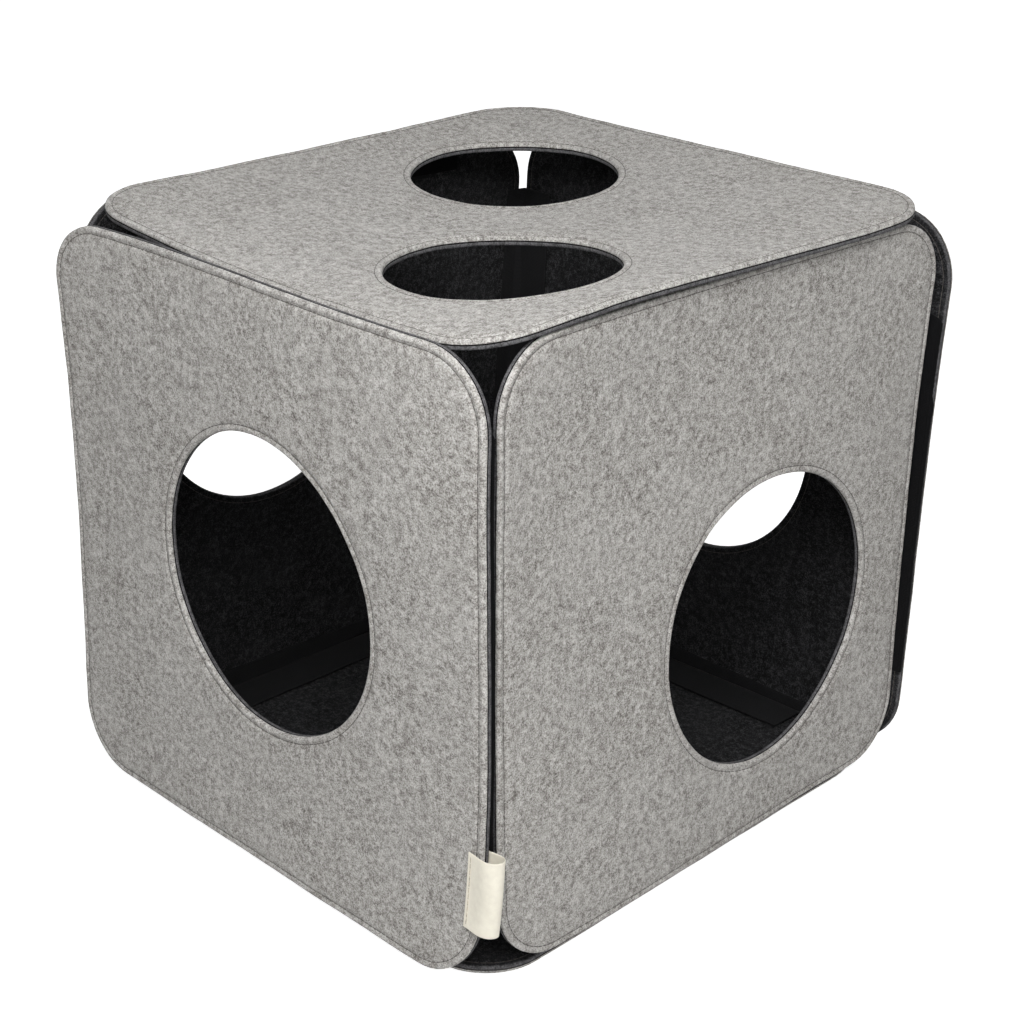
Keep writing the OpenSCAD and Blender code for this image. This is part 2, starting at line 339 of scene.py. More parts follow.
def set_uv(mesh, across, up):
    """Lays the flat pattern out as the piece's UV map, in metres."""
    layer = mesh.uv_layers.new(name="pattern")
    corners = np.empty(len(mesh.loops), int)
    mesh.loops.foreach_get("vertex_index", corners)
    layer.uv.foreach_set("vector", np.stack([across[corners], up[corners]], 1).astype(np.float32).ravel())


def finish_piece(bm, name, material):
    """Turns a bmesh into a smooth-shaded object at the origin."""
    mesh = bpy.data.meshes.new(name)
    bm.to_mesh(mesh)
    bm.free()
    mesh.polygons.foreach_set("use_smooth", [True] * len(mesh.polygons))
    mesh.materials.append(material)
    piece = bpy.data.objects.new(name, mesh)
    bpy.context.scene.collection.objects.link(piece)
    return piece


def outward(bm):
    """Makes the faces of closed shells point outwards."""
    bmesh.ops.recalc_face_normals(bm, faces=bm.faces[:])
    if bm.calc_volume(signed=True) < 0:
        bmesh.ops.reverse_faces(bm, faces=bm.faces[:])


def append(whole, part):
    """Adds a part's bmesh to a whole one and frees the part."""
    mesh = bpy.data.meshes.new("part")
    part.to_mesh(mesh)
    part.free()
    whole.from_mesh(mesh)
    bpy.data.meshes.remove(mesh)


# Felt plies
def square_loop(bm, inset):
    """Edges of a panel's outline, moved in by an inset."""
    radius = sizes().corner_r - inset
    half = PANEL_HALF - inset
    part = bmesh.new()
    bmesh.ops.create_grid(part, x_segments=1, y_segments=1, size=half)
    bmesh.ops.bevel(part, geom=part.verts[:], offset=radius, offset_type="OFFSET", segments=CORNER_STEPS,
                    profile=0.5, affect="VERTICES", material=-1)
    bmesh.ops.delete(part, geom=part.faces[:], context="FACES_ONLY")
    sides = sorted(part.edges, key=bmesh.types.BMEdge.calc_length)[-4:]
    bmesh.ops.subdivide_edges(part, edges=sides, cuts=SIDE_CUTS)
    known = len(bm.edges)
    append(bm, part)
    bm.edges.ensure_lookup_table()
    return bm.edges[known:]


def ring_loop(bm, x, y, radius):
    """Edges of a circle."""
    known = len(bm.edges)
    bmesh.ops.create_circle(bm, cap_ends=False, radius=radius, segments=RING_STEPS,
                            matrix=Matrix.Translation((x, y, 0)))
    bm.edges.ensure_lookup_table()
    return bm.edges[known:]


def rim(make_loop):
    """A bmesh with a band of fine strips along one cut edge."""
    bm = bmesh.new()
    edges = make_loop(bm, 0.0)
    for inset in RIM_INSETS:
        inner = make_loop(bm, inset)
        bmesh.ops.bridge_loops(bm, edges=edges + inner)
        edges = inner
    return bm


def punched_sheet(panel):
    """The flat sheet of a panel: fine rims along its cut edges and a square grid between them."""
    sheet = bmesh.new()
    append(sheet, rim(square_loop))
    for x, y, r in panel_holes(panel):
        append(sheet, rim(lambda bm, inset: ring_loop(bm, x, y, r + inset)))
    open_edges = [e for e in sheet.edges if e.is_boundary and on_inner_side(panel, e)]
    known = set(sheet.verts)
    bmesh.ops.create_grid(sheet, x_segments=GRID_STEPS, y_segments=GRID_STEPS, size=PANEL_HALF)
    grid = [v for v in sheet.verts if v not in known]
    margin = RIM_INSETS[-1] + GRID_MARGIN * 2 * PANEL_HALF / GRID_STEPS
    outside = [v for v in grid if vert_distance(panel, v) < margin]
    bmesh.ops.delete(sheet, geom=outside, context="VERTS")
    bmesh.ops.delete(sheet, geom=[e for e in sheet.edges if e.is_wire], context="EDGES")
    bmesh.ops.delete(sheet, geom=[v for v in sheet.verts if not v.link_edges], context="VERTS")
    stairs = [e for e in sheet.edges if e.is_boundary and vert_distance(panel, e.verts[0]) >= margin]
    bmesh.ops.triangle_fill(sheet, use_beauty=True, edges=open_edges + stairs, normal=(0, 0, 1))
    return sheet


def vert_distance(panel, vert):
    """Distance of one flat point from its panel's nearest cut edge."""
    return float(cut_distance(panel, np.array([vert.co.x]), np.array([vert.co.y]))[0])


def on_inner_side(panel, edge):
    """Whether an edge lies on the side of a rim that is away from the cut."""
    return vert_distance(panel, edge.verts[0]) > RIM_INSETS[-1] / 2


def fall(distance, radius):
    """How far a face falls away at a distance from a cut edge of that rounding."""
    t = np.clip(1 - distance / radius, 0.0, 1.0)
    return radius * (1 - np.sqrt(1 - t * t))


def dip(distance):
    """How far a seam pulls the felt in."""
    s = sizes()
    return s.seam_dip * np.exp(-((distance - s.seam_inset) / s.seam_dip_w) ** 2)


def felt_waves(panel, across, up):
    """Gentle waves of one panel's soft felt, as a height for each point."""
    points = np.stack([across, up, np.full_like(up, len(panel) * CUBE_HALF)], 1)
    wide = [noise.noise(Vector(point) * WIDE_WAVES) for point in points]
    fine = [noise.noise(Vector(point) * FINE_WAVES) for point in points]
    return sizes().ripple * (np.array(wide) + FINE_SHARE * np.array(fine))


def felt_ply(panel, outer, material):
    """One ply of a panel, with rounded cut edges and dipped seams, seated on the cube."""
    s = sizes()
    top = 0.0 if outer else -s.outer_t
    thick = s.outer_t if outer else s.inner_t
    bm = punched_sheet(panel)
    made = bmesh.ops.extrude_face_region(bm, geom=bm.faces[:])["geom"]
    underside = [v for v in made if isinstance(v, bmesh.types.BMVert)]
    bmesh.ops.translate(bm, vec=(0, 0, -thick), verts=underside)
    outward(bm)
    side = "outer" if outer else "inner"
    piece = finish_piece(bm, f"{panel}_{side}_ply", material)
    flat = get_points(piece.data)
    across, up, depth = flat.T
    distance = cut_distance(panel, across, up)
    upper = depth > -thick / 2
    rounding = s.face_round if outer else s.lining_round
    shown = fall(distance, rounding) + dip(distance)
    hidden = fall(distance, s.ply_round)
    drop = np.where(upper, shown if outer else hidden, hidden if outer else shown)
    out = top + np.where(upper, -drop, drop - thick)
    set_uv(piece.data, across + out, up + out)
    # Mask for the material's painted highlight on the rounded cut edge
    edge = piece.data.attributes.new("lit_cut_edge", "FLOAT", "POINT")
    edge.data.foreach_set("value", np.clip(1 - distance / rounding, 0.0, 1.0).astype(np.float32))
    # Mask for the material's painted shade on the faces where the two plies meet
    line = piece.data.attributes.new("ply_gap_shade", "FLOAT", "POINT")
    line.data.foreach_set("value", (upper != outer).astype(np.float32))
    waves = felt_waves(panel, across, up)
    set_points(piece.data, seated(panel, np.stack([across, up, out + waves], 1)))
    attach(piece, panel)
    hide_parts(f"{panel}_{side}_felt")
    return piece


def flat_area(panel):
    """Area of a panel's cut pattern."""
    width = 2 * PANEL_HALF
    corners = (4 - math.pi) * sizes().corner_r ** 2
    return width * width - corners - sum(math.pi * r * r for _, _, r in panel_holes(panel))


def declare_ply(panel):
    """Declares a ply as a sheet, with its flat size and what it rests on."""
    flat_area(panel)


# Stitches
def square_track(half, radius, pitch):
    """Places and headings of stitches round a rounded square."""
    side = 2 * (half - radius)
    quarter = side + radius * math.pi / 2
    count = round(4 * quarter / pitch)
    for k in range(count):
        corner, run = divmod(k * 4 * quarter / count, quarter)
        if run < side:
            place, heading = Vector((half, run - side / 2, 0)), 0.0
        else:
            heading = (run - side) / radius
            place = Vector((radius * math.cos(heading), radius * math.sin(heading), 0))
            place += Vector((side / 2, side / 2, 0))
        turn = corner * math.pi / 2
        yield Matrix.Rotation(turn, 3, "Z") @ place, heading + turn


def ring_track(x, y, radius, pitch):
    """Places and headings of stitches round an opening."""
    count = round(2 * math.pi * radius / pitch)
    for k in range(count):
        heading = 2 * math.pi * k / count
        yield Vector((x + radius * math.cos(heading), y + radius * math.sin(heading), 0)), heading


def add_stitch(bm, place, heading):
    """One stitch: a short thread, thickest in the middle, that runs square to its heading."""
    s = sizes()
    shape = Matrix.Diagonal((s.thread_w, s.stitch_len, s.thread_w, 1.0))
    pose = Matrix.Translation(place) @ Matrix.Rotation(heading, 4, "Z") @ shape
    bmesh.ops.create_uvsphere(bm, u_segments=STITCH_SIDES, v_segments=STITCH_RINGS, radius=0.5,
                              matrix=pose @ Matrix.Rotation(math.pi / 2, 4, "X"))


def sew(places):
    """A bmesh with a stitch at each place and heading, made in short chains to stay quick."""
    sewn = bmesh.new()
    for first in range(0, len(places), CHAIN_LENGTH):
        chain = bmesh.new()
        for place, heading in places[first:first + CHAIN_LENGTH]:
            add_stitch(chain, place, heading)
        append(sewn, chain)
    outward(sewn)
    return sewn


def seam(panel, material):
    """All the stitches of a panel's seams, on both faces."""
    s = sizes()
    half = PANEL_HALF - s.seam_inset
    track = list(square_track(half, s.corner_r - s.seam_inset, s.stitch_pitch))
    for x, y, r in panel_holes(panel):
        track += ring_track(x, y, r + s.seam_inset, s.stitch_pitch)
    both = (-s.seam_dip, s.seam_dip - s.outer_t - s.inner_t)
    places = [(place + Vector((0, 0, out)), heading) for out in both for place, heading in track]
    piece = finish_piece(sew(places), f"{panel}_seam", material)
    flat = get_points(piece.data)
    flat[:, 2] += felt_waves(panel, flat[:, 0], flat[:, 1])
    set_points(piece.data, seated(panel, flat))
    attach(piece, panel)
    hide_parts(f"{panel}_seam_thread")


# Hook-and-loop tape
TAPE_STEPS = 50
LEAF_STEPS = 5
FOLD_STEPS = 8
TAPE_BEVEL = 0.3 * MM
BEVEL_SHARE = 0.4
SHARP_EDGE = math.radians(60)

# How far a fold runs on straight from its two panels, as a share of the gap
FOLD_PULL = 0.55

# The flap in the far corner, drawn straight across the gap
FAR_FLAP = "left_wall_back_flap"
FAR_FOLD_PULL = 0.12


def along_edge(panel, edge, inward, along, height):
    """Points on a panel's inner face, by the way in from a cut edge, along it and above the felt."""
    s = sizes()
    inward, along, height = np.broadcast_arrays(inward, along, height)
    x = PANEL_HALF - inward
    turn = edge * math.pi / 2
    across = x * math.cos(turn) - along * math.sin(turn)
    up = x * math.sin(turn) + along * math.cos(turn)
    waves = felt_waves(panel, across.ravel(), up.ravel()).reshape(across.shape)
    return seated(panel, np.stack([across, up, waves - s.outer_t - s.inner_t - height], -1))


def strip(name, rows, thickness, material, felt_side=None):
    """A strip of tape or ribbon through rows of points, thick away from the felt if its side is given."""
    rows = np.asarray(rows)
    across_steps, along_steps = rows.shape[0] - 1, rows.shape[1] - 1
    bm = bmesh.new()
    layer = bm.loops.layers.uv.new("pattern")
    bmesh.ops.create_grid(bm, x_segments=along_steps, y_segments=across_steps, size=0.5)
    width = np.linalg.norm(np.diff(rows, axis=0), axis=2).mean(1)
    across_at = np.concatenate([[0.0], np.cumsum(width)])
    reach = np.linalg.norm(np.diff(rows, axis=1), axis=2).mean(0)
    along_at = np.concatenate([[0.0], np.cumsum(reach)])
    for face in bm.faces:
        for loop in face.loops:
            i = round((loop.vert.co.y + 0.5) * across_steps)
            j = round((loop.vert.co.x + 0.5) * along_steps)
            loop[layer].uv = (along_at[j], across_at[i])
    for vert in bm.verts:
        i = round((vert.co.y + 0.5) * across_steps)
        j = round((vert.co.x + 0.5) * along_steps)
        vert.co = rows[i, j]
    bmesh.ops.recalc_face_normals(bm, faces=bm.faces[:])
    bm.normal_update()
    if felt_side and bm.faces[:][0].normal.dot(Vector(felt_side)) < 0:
        bmesh.ops.reverse_faces(bm, faces=bm.faces[:])
    bm.normal_update()
    bmesh.ops.solidify(bm, geom=bm.faces[:], thickness=thickness)
    outward(bm)
    sharp = [e for e in bm.edges if e.is_manifold and e.calc_face_angle() > SHARP_EDGE]
    bmesh.ops.bevel(bm, geom=sharp, offset=min(TAPE_BEVEL, BEVEL_SHARE * thickness), offset_type="OFFSET",
                    segments=2, profile=0.5, affect="EDGES", material=-1)
    return finish_piece(bm, name, material), across_at[-1]


def loop_strip(panel, edge, name, material):
    """The strip of loop tape along one edge of a panel's inner face."""
    s = sizes()
    along = np.linspace(-s.loop_len / 2, s.loop_len / 2, TAPE_STEPS + 1)
    inward = np.linspace(s.loop_edge, s.loop_edge + s.loop_w, LEAF_STEPS + 1)
    rows = [along_edge(panel, edge, i, along, 0.0) for i in inward]
    piece, _ = strip(f"{name}_tape", rows, s.tape_t, material, FACES[panel].out)
    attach(piece, panel)
    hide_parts(name)


def fold_rows(panel, edge, other, other_edge, slide, fold_in, fold_pull, drop):
    """Rows of a flap: sewn on one panel, folded through the corner and laid on the other's loop tape."""
    s = sizes()
    along = np.linspace(-s.flap_len / 2, s.flap_len / 2, TAPE_STEPS + 1) + slide
    grip = s.tape_t + s.pile_gap
    first, leaf_w = s.loop_edge, s.wall_leaf_w
    if panel == "roof":
        first, leaf_w = s.roof_leaf_drop, s.roof_leaf_w
    sewn_at = fold_in + np.linspace(s.sewn_w, s.loop_edge, LEAF_STEPS)
    sewn = [along_edge(panel, edge, i, along, 0.0) for i in sewn_at]
    grips = np.linspace(first, first + leaf_w, LEAF_STEPS + 2)
    free = [along_edge(other, other_edge, i, -along - drop, grip) for i in grips]
    start, end = sewn[-1], free[0]
    pull = fold_pull * np.linalg.norm(end - start, axis=1)[:, None]
    leave = sewn[-1] - sewn[-2]
    arrive = free[0] - free[1]
    start_pull = start + pull * leave / np.linalg.norm(leave, axis=1)[:, None]
    end_pull = end + pull * arrive / np.linalg.norm(arrive, axis=1)[:, None]
    fold = []
    for t in np.linspace(0, 1, FOLD_STEPS + 1)[1:-1]:
        fold.append((1 - t) ** 3 * start + 3 * t * (1 - t) ** 2 * start_pull
                    + 3 * t * t * (1 - t) * end_pull + t ** 3 * end)
    return sewn + fold + free


def flap(panel, edge, other, other_edge, name, nodes, material,
         slide=0.0, fold_in=0.0, fold_pull=FOLD_PULL, drop=0.0):
    """A hook flap in a corner, slid along it, folded further in or with a lower free leaf if need be."""
    s = sizes()
    rows = fold_rows(panel, edge, other, other_edge, slide, fold_in, fold_pull, drop)
    piece, width = strip(name, rows, s.tape_t, material, FACES[panel].out)
    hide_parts(*nodes)
    return piece, np.array(rows)


# Ribbon label
LABEL_STEPS = 24
LABEL_PATH_STEPS = 5
LABEL_SWAY = 0.5 * MM
LABEL_SWAY_REACH = 9 * MM
LABEL_SWAY_DRIFT = 0.1
LABEL_STITCH_LIFT = 2.2

# The free loop of the ribbon, in millimetres beyond the front wall's edge and out from its face
LABEL_LOOP = ((-5, 0.9), (-1.9, 1.4), (2, 2.1), (6, 2.3), (10, 1.0),
              (12.4, -1.8), (12.4, -5.0), (9.5, -7.4), (4, -7.8), (-2, -7.2))


def smooth_path(points, steps):
    """Points on a smooth curve through the given ones."""
    points = np.array(points, float)
    padded = np.concatenate([[2 * points[0] - points[1]], points, [2 * points[-1] - points[-2]]])
    path = []
    for k in range(len(points) - 1):
        a, b, c, d = padded[k:k + 4]
        for t in np.linspace(0, 1, steps, endpoint=False):
            path.append(0.5 * (2 * b + (c - a) * t + (2 * a - 5 * b + 4 * c - d) * t * t
                               + (3 * b - a - 3 * c + d) * t ** 3))
    path.append(points[-1])
    return np.array(path)


# Light and stage, in metres and watts
FLOOR_HALF = 30.0
FLOOR_STEP = 8 * MM
FLOOR_DROP = 14 * MM
FLOOR_TONE = (0.8, 0.8, 0.8, 1.0)
FLOOR_GLOW = 0.85
WORLD_LIGHT = 0.16
WHITE = (1.0, 1.0, 1.0, 1.0)
LAMP_AIM = (0, 0, 0.2)
Lamp = namedtuple("Lamp", "name place size power")
LAMPS = (
    Lamp("key", (1.0, -1.0, 1.5), 1.2, 21.5),
    Lamp("high", (0.75, -0.75, 2.0), 1.4, 2.0),
    Lamp("near", (0.4, -0.5, 0.9), 0.5, 2.9),
    Lamp("side", (2.2, -0.4, 1.8), 1.6, 9.0),
    Lamp("rear", (-1.3, 1.5, 1.6), 1.6, 5.0),
)

# Camera at the photograph's viewing angle
CAMERA_AZIMUTH = math.radians(45.14)
CAMERA_ELEVATION = math.radians(23.01)
CAMERA_ROLL = math.radians(0.59)
CAMERA_DISTANCE = 1.3933
CAMERA_SENSOR = 36.0
CAMERA_LENS = 73.37
CAMERA_SHIFT = (0.0208, -0.0127)


def hang_lamp(lamp):
    """Hangs one soft round lamp that faces the condo."""
    data = bpy.data.lights.new(lamp.name, "AREA")
    data.shape = "DISK"
    data.size = lamp.size
    data.energy = lamp.power
    hung = bpy.data.objects.new(lamp.name, data)
    hung.location = lamp.place
    hung.rotation_euler = (Vector(LAMP_AIM) - Vector(lamp.place)).to_track_quat("-Z", "Y").to_euler()
    bpy.context.scene.collection.objects.link(hung)


# Sockets of the colour mix node
MIX_FACTOR, MIX_FIRST, MIX_SECOND, MIX_RESULT = 0, 6, 7, 2

# Felt: specks to the metre, their shares, and the values of a speck that are dark, even and light
GRAIN_SCALE = 1000.0
GRAIN_ROUGHNESS = 0.75
GRAIN_SHARE = 0.7
CLUMP_SCALE = 260.0
PATCH_SCALE = 22.0
PATCH_RANGE = (0.3, 0.7)
PATCH_SHARE = 0.12
DARK_SPECK, EVEN_SPECK, LIGHT_SPECK = 0.395, 0.50, 0.615
FELT_RELIEF = (0.5, 0.8 * MM)

# Hairs in the felt: two lies each, as a turn and the values where a hair begins and is full
PALE_HAIRS = ((0.4, 0.62, 0.74), (2.3, 0.63, 0.75))
DARK_HAIRS = ((1.3, 0.63, 0.75), (2.9, 0.64, 0.76))
HAIR_SHARE = 0.45
HAIR_HEIGHT = 0.35
HAIR_SCALE = (210.0, 1500.0, 1.0)
HAIR_WANDER_SCALE = 130.0
HAIR_WANDER = (0.006, 0.006, 0.0)

# Painted highlight on the felt's cut edges, and painted shade on the line between its plies
LIT_EDGE_RANGE = (0.38, 0.62)
LIT_EDGE_TONES = (0.45, 1.6)
PLY_SHADE_RANGE = (0.85, 1.0)
PLY_SHADE_TONE = 0.3

# Thread, tape and ribbon: specks to the metre, weave, darkest and lightest share of the tone, and relief
TWIST_SCALE = 1400.0
TWIST_RANGE = (0.3, 0.7)
TWIST_TONES = (0.4, 1.6)
TWIST_RELIEF = (0.4, 0.3 * MM)
TAPE_PITCH = 1.1 * MM
FUZZ_SCALE = 900.0
TAPE_TONES = (0.45, 1.9)
TAPE_RELIEF = (0.5, 0.4 * MM)
RIBBON_PITCH = 0.6 * MM
SLUB_SCALE = 260.0
SLUB_SHARE = 0.6
RIBBON_TONES = (0.80, 1.15)
RIBBON_RELIEF = (0.4, 0.2 * MM)

# Scale of the wave texture at which one band is a metre wide
BAND_SCALE = 0.314


# Materials
def add_node(tree, kind, inputs=None, **settings):
    """Adds a node with its settings and input values."""
    made = tree.nodes.new(kind)
    for key, value in settings.items():
        setattr(made, key, value)
    for key, value in (inputs or {}).items():
        if isinstance(value, bpy.types.NodeSocket):
            tree.links.new(value, made.inputs[key])
        else:
            made.inputs[key].default_value = value
    return made


def rgba(tone, share=1.0):
    """A share of a tone, as an opaque colour."""
    return (*(min(1.0, share * value) for value in tone), 1.0)


def new_material(name, finish):
    """A material with one principled shader, whose even values are set on its own sockets."""
    material = bpy.data.materials.new(name)
    material.use_nodes = True
    shader = material.node_tree.nodes["Principled BSDF"]
    for key, value in finish.items():
        shader.inputs[key].default_value = value
    return material, material.node_tree, shader


def mix_colour(tree, factor, first, second):
    """First and second colour mixed by a factor."""
    inputs = {MIX_FACTOR: factor, MIX_FIRST: first, MIX_SECOND: second}
    return add_node(tree, "ShaderNodeMix", inputs, data_type="RGBA").outputs[MIX_RESULT]


def calc(tree, operation, first, second):
    """One sum of two values."""
    return add_node(tree, "ShaderNodeMath", {0: first, 1: second}, operation=operation).outputs["Value"]


def between(tree, value, low, high):
    """Smooth step of a value from 0 at low to 1 at high."""
    step = add_node(tree, "ShaderNodeMapRange", {"Value": value, "From Min": low, "From Max": high},
                    interpolation_type="SMOOTHSTEP")
    return step.outputs["Result"]


def specks(tree, place, scale, detail, roughness=0.5):
    """Cloudy specks, by their number to the metre."""
    inputs = {"Vector": place, "Scale": scale, "Detail": detail, "Roughness": roughness}
    return add_node(tree, "ShaderNodeTexNoise", inputs)


def ramp(tree, value, first, last, *others):
    """Colour along a value, through places that each have a colour."""
    made = add_node(tree, "ShaderNodeValToRGB", {"Fac": value})
    stops = made.color_ramp.elements
    for stop, (place, tone) in zip((stops[0], stops[1]), (first, last)):
        stop.position = place
        stop.color = tone
    for place, tone in others:
        stops.new(place).color = tone
    return made.outputs["Color"]


def dress(tree, shader, shade, height, relief):
    """Gives a shader its colour and a fine relief of that strength and depth."""
    strength, depth = relief
    bump = add_node(tree, "ShaderNodeBump", {"Strength": strength, "Distance": depth, "Height": height})
    tree.links.new(shade, shader.inputs["Base Color"])
    tree.links.new(bump.outputs["Normal"], shader.inputs["Normal"])


def hair_layer(tree, pattern, turn, low, high):
    """Thin hairs that lie mostly one way in the felt."""
    wander = specks(tree, pattern, HAIR_WANDER_SCALE, detail=2.0)
    bend = add_node(tree, "ShaderNodeVectorMath", {0: wander.outputs["Color"], 1: HAIR_WANDER},
                    operation="MULTIPLY")
    bent = add_node(tree, "ShaderNodeVectorMath", {0: pattern, 1: bend.outputs["Vector"]}, operation="ADD")
    lie = add_node(tree, "ShaderNodeMapping", {"Vector": bent.outputs["Vector"], "Rotation": (0, 0, turn),
                                               "Scale": HAIR_SCALE, "Location": (turn, 3 * turn, 0)})
    hairs = specks(tree, lie.outputs["Vector"], 1.0, detail=2.0)
    return between(tree, hairs.outputs["Fac"], low, high)


def hairs_of(tree, pattern, lies):
    """Hairs of one tone, in two lies."""
    first, second = (hair_layer(tree, pattern, *lie) for lie in lies)
    return calc(tree, "MAXIMUM", first, second)


def felt_material(name, mid, light, dark, edge, edge_light_share, sheen):
    """Needled felt: a speckled ground, pale and dark hairs, and a paler cut edge."""
    material, tree, shader = new_material(name, {
        "Roughness": 0.95, "Specular IOR Level": 0.1, "Sheen Weight": sheen, "Sheen Roughness": 0.6})
    place = add_node(tree, "ShaderNodeTexCoord")
    pattern, solid = place.outputs["UV"], place.outputs["Object"]
    grain = specks(tree, solid, GRAIN_SCALE, detail=4.0, roughness=GRAIN_ROUGHNESS).outputs["Fac"]
    clumps = specks(tree, solid, CLUMP_SCALE, detail=3.0).outputs["Fac"]
    patches = specks(tree, solid, PATCH_SCALE, detail=2.0).outputs["Fac"]
    ground = calc(tree, "ADD", calc(tree, "MULTIPLY", grain, GRAIN_SHARE),
                  calc(tree, "MULTIPLY", clumps, 1 - GRAIN_SHARE))
    shade = ramp(tree, ground, (DARK_SPECK, rgba(dark)), (LIGHT_SPECK, rgba(light)), (EVEN_SPECK, rgba(mid)))
    pale = hairs_of(tree, pattern, PALE_HAIRS)
    deep = hairs_of(tree, pattern, DARK_HAIRS)
    shade = mix_colour(tree, calc(tree, "MULTIPLY", pale, HAIR_SHARE), shade, rgba(light))
    shade = mix_colour(tree, calc(tree, "MULTIPLY", deep, HAIR_SHARE), shade, rgba(dark))
    blotch = between(tree, patches, *PATCH_RANGE)
    shade = mix_colour(tree, calc(tree, "MULTIPLY", blotch, PATCH_SHARE), shade, rgba(light))
    # Painted highlight: the rounded cut edge is lightened towards the edge tone, with its own grain
    lit_cut_edge = add_node(tree, "ShaderNodeAttribute", attribute_name="lit_cut_edge").outputs["Fac"]
    cut = mix_colour(tree, between(tree, ground, *LIT_EDGE_RANGE), *(rgba(edge, share) for share in LIT_EDGE_TONES))
    shade = mix_colour(tree, calc(tree, "MULTIPLY", lit_cut_edge, edge_light_share), shade, cut)
    # Painted shade: the faces where the two plies meet are darkened, so the line between them looks shaded
    line = add_node(tree, "ShaderNodeAttribute", attribute_name="ply_gap_shade").outputs["Fac"]
    shade = mix_colour(tree, between(tree, line, *PLY_SHADE_RANGE), shade, rgba(dark, PLY_SHADE_TONE))
    height = calc(tree, "ADD", grain, calc(tree, "MULTIPLY", pale, HAIR_HEIGHT))
    dress(tree, shader, shade, height, FELT_RELIEF)
    return material


def thread_material(name, tone):
    """Twisted sewing thread."""
    material, tree, shader = new_material(name, {"Roughness": 0.7, "Sheen Weight": 0.1})
    place = add_node(tree, "ShaderNodeTexCoord")
    twist = specks(tree, place.outputs["Object"], TWIST_SCALE, detail=2.0).outputs["Fac"]
    shade = ramp(tree, twist, *((at, rgba(tone, share)) for at, share in zip(TWIST_RANGE, TWIST_TONES)))
    dress(tree, shader, shade, twist, TWIST_RELIEF)
    return material


def weave(tree, pattern, pitch):
    """Height of a plain weave of that pitch: warp and weft bands that pass over each other."""
    inputs = {"Vector": pattern, "Scale": BAND_SCALE / pitch, "Distortion": 0.4, "Detail": 1.0,
              "Detail Scale": 3.0}
    warp, weft = (add_node(tree, "ShaderNodeTexWave", inputs, bands_direction=direction, wave_profile="SIN")
                  for direction in ("X", "Y"))
    return calc(tree, "MULTIPLY", warp.outputs["Fac"], weft.outputs["Fac"])


def tape_material(name, tone):
    """Woven tape with a fuzz of hooks and loops."""
    material, tree, shader = new_material(name, {
        "Roughness": 0.9, "Specular IOR Level": 0.1, "Sheen Weight": 0.02, "Sheen Roughness": 0.5})
    pattern = add_node(tree, "ShaderNodeTexCoord").outputs["UV"]
    fuzz = specks(tree, pattern, FUZZ_SCALE, detail=3.0).outputs["Fac"]
    height = calc(tree, "ADD", weave(tree, pattern, TAPE_PITCH), fuzz)
    half = calc(tree, "MULTIPLY", height, 0.5)
    shade = mix_colour(tree, half, *(rgba(tone, share) for share in TAPE_TONES))
    dress(tree, shader, shade, height, TAPE_RELIEF)
    return material


def ribbon_material(name, tone):
    """Cream woven ribbon."""
    material, tree, shader = new_material(name, {
        "Roughness": 0.75, "Specular IOR Level": 0.25, "Sheen Weight": 0.15, "Sheen Roughness": 0.4})
    pattern = add_node(tree, "ShaderNodeTexCoord").outputs["UV"]
    cloth = weave(tree, pattern, RIBBON_PITCH)
    slubs = specks(tree, pattern, SLUB_SCALE, detail=4.0).outputs["Fac"]
    mix = calc(tree, "ADD", calc(tree, "MULTIPLY", cloth, 1 - SLUB_SHARE),
               calc(tree, "MULTIPLY", slubs, SLUB_SHARE))
    shade = mix_colour(tree, mix, *(rgba(tone, share) for share in RIBBON_TONES))
    dress(tree, shader, shade, cloth, RIBBON_RELIEF)
    return material


def finish_of(name):
    """One of the object's finishes, made the first time that it is asked for."""
    c = colours()
    makers = {
        # Each felt's cut edge takes a painted highlight of its edge tone, at the given share
        "heather_felt": lambda: felt_material("heather_felt", c.outer_mid, c.outer_pale_fibres_and_highlight, c.outer_dark,
                                              c.outer_pale_fibres_and_highlight, edge_light_share=0.12, sheen=0.12),
        "charcoal_felt": lambda: felt_material("charcoal_felt", c.inner_mid, c.inner_light, c.inner_dark,
                                               c.inner_edge_highlight, edge_light_share=0.9, sheen=0.02),
        "sewing_thread": lambda: thread_material("sewing_thread", c.thread),
        "label_thread": lambda: thread_material("label_thread", c.label_thread),
        "hook_tape": lambda: tape_material("hook_tape", c.tape),
        "lining_tape": lambda: tape_material("lining_tape", c.lining_tape),
        "woven_ribbon": lambda: ribbon_material("woven_ribbon", c.ribbon),
    }
    return bpy.data.materials.get(name) or makers[name]()


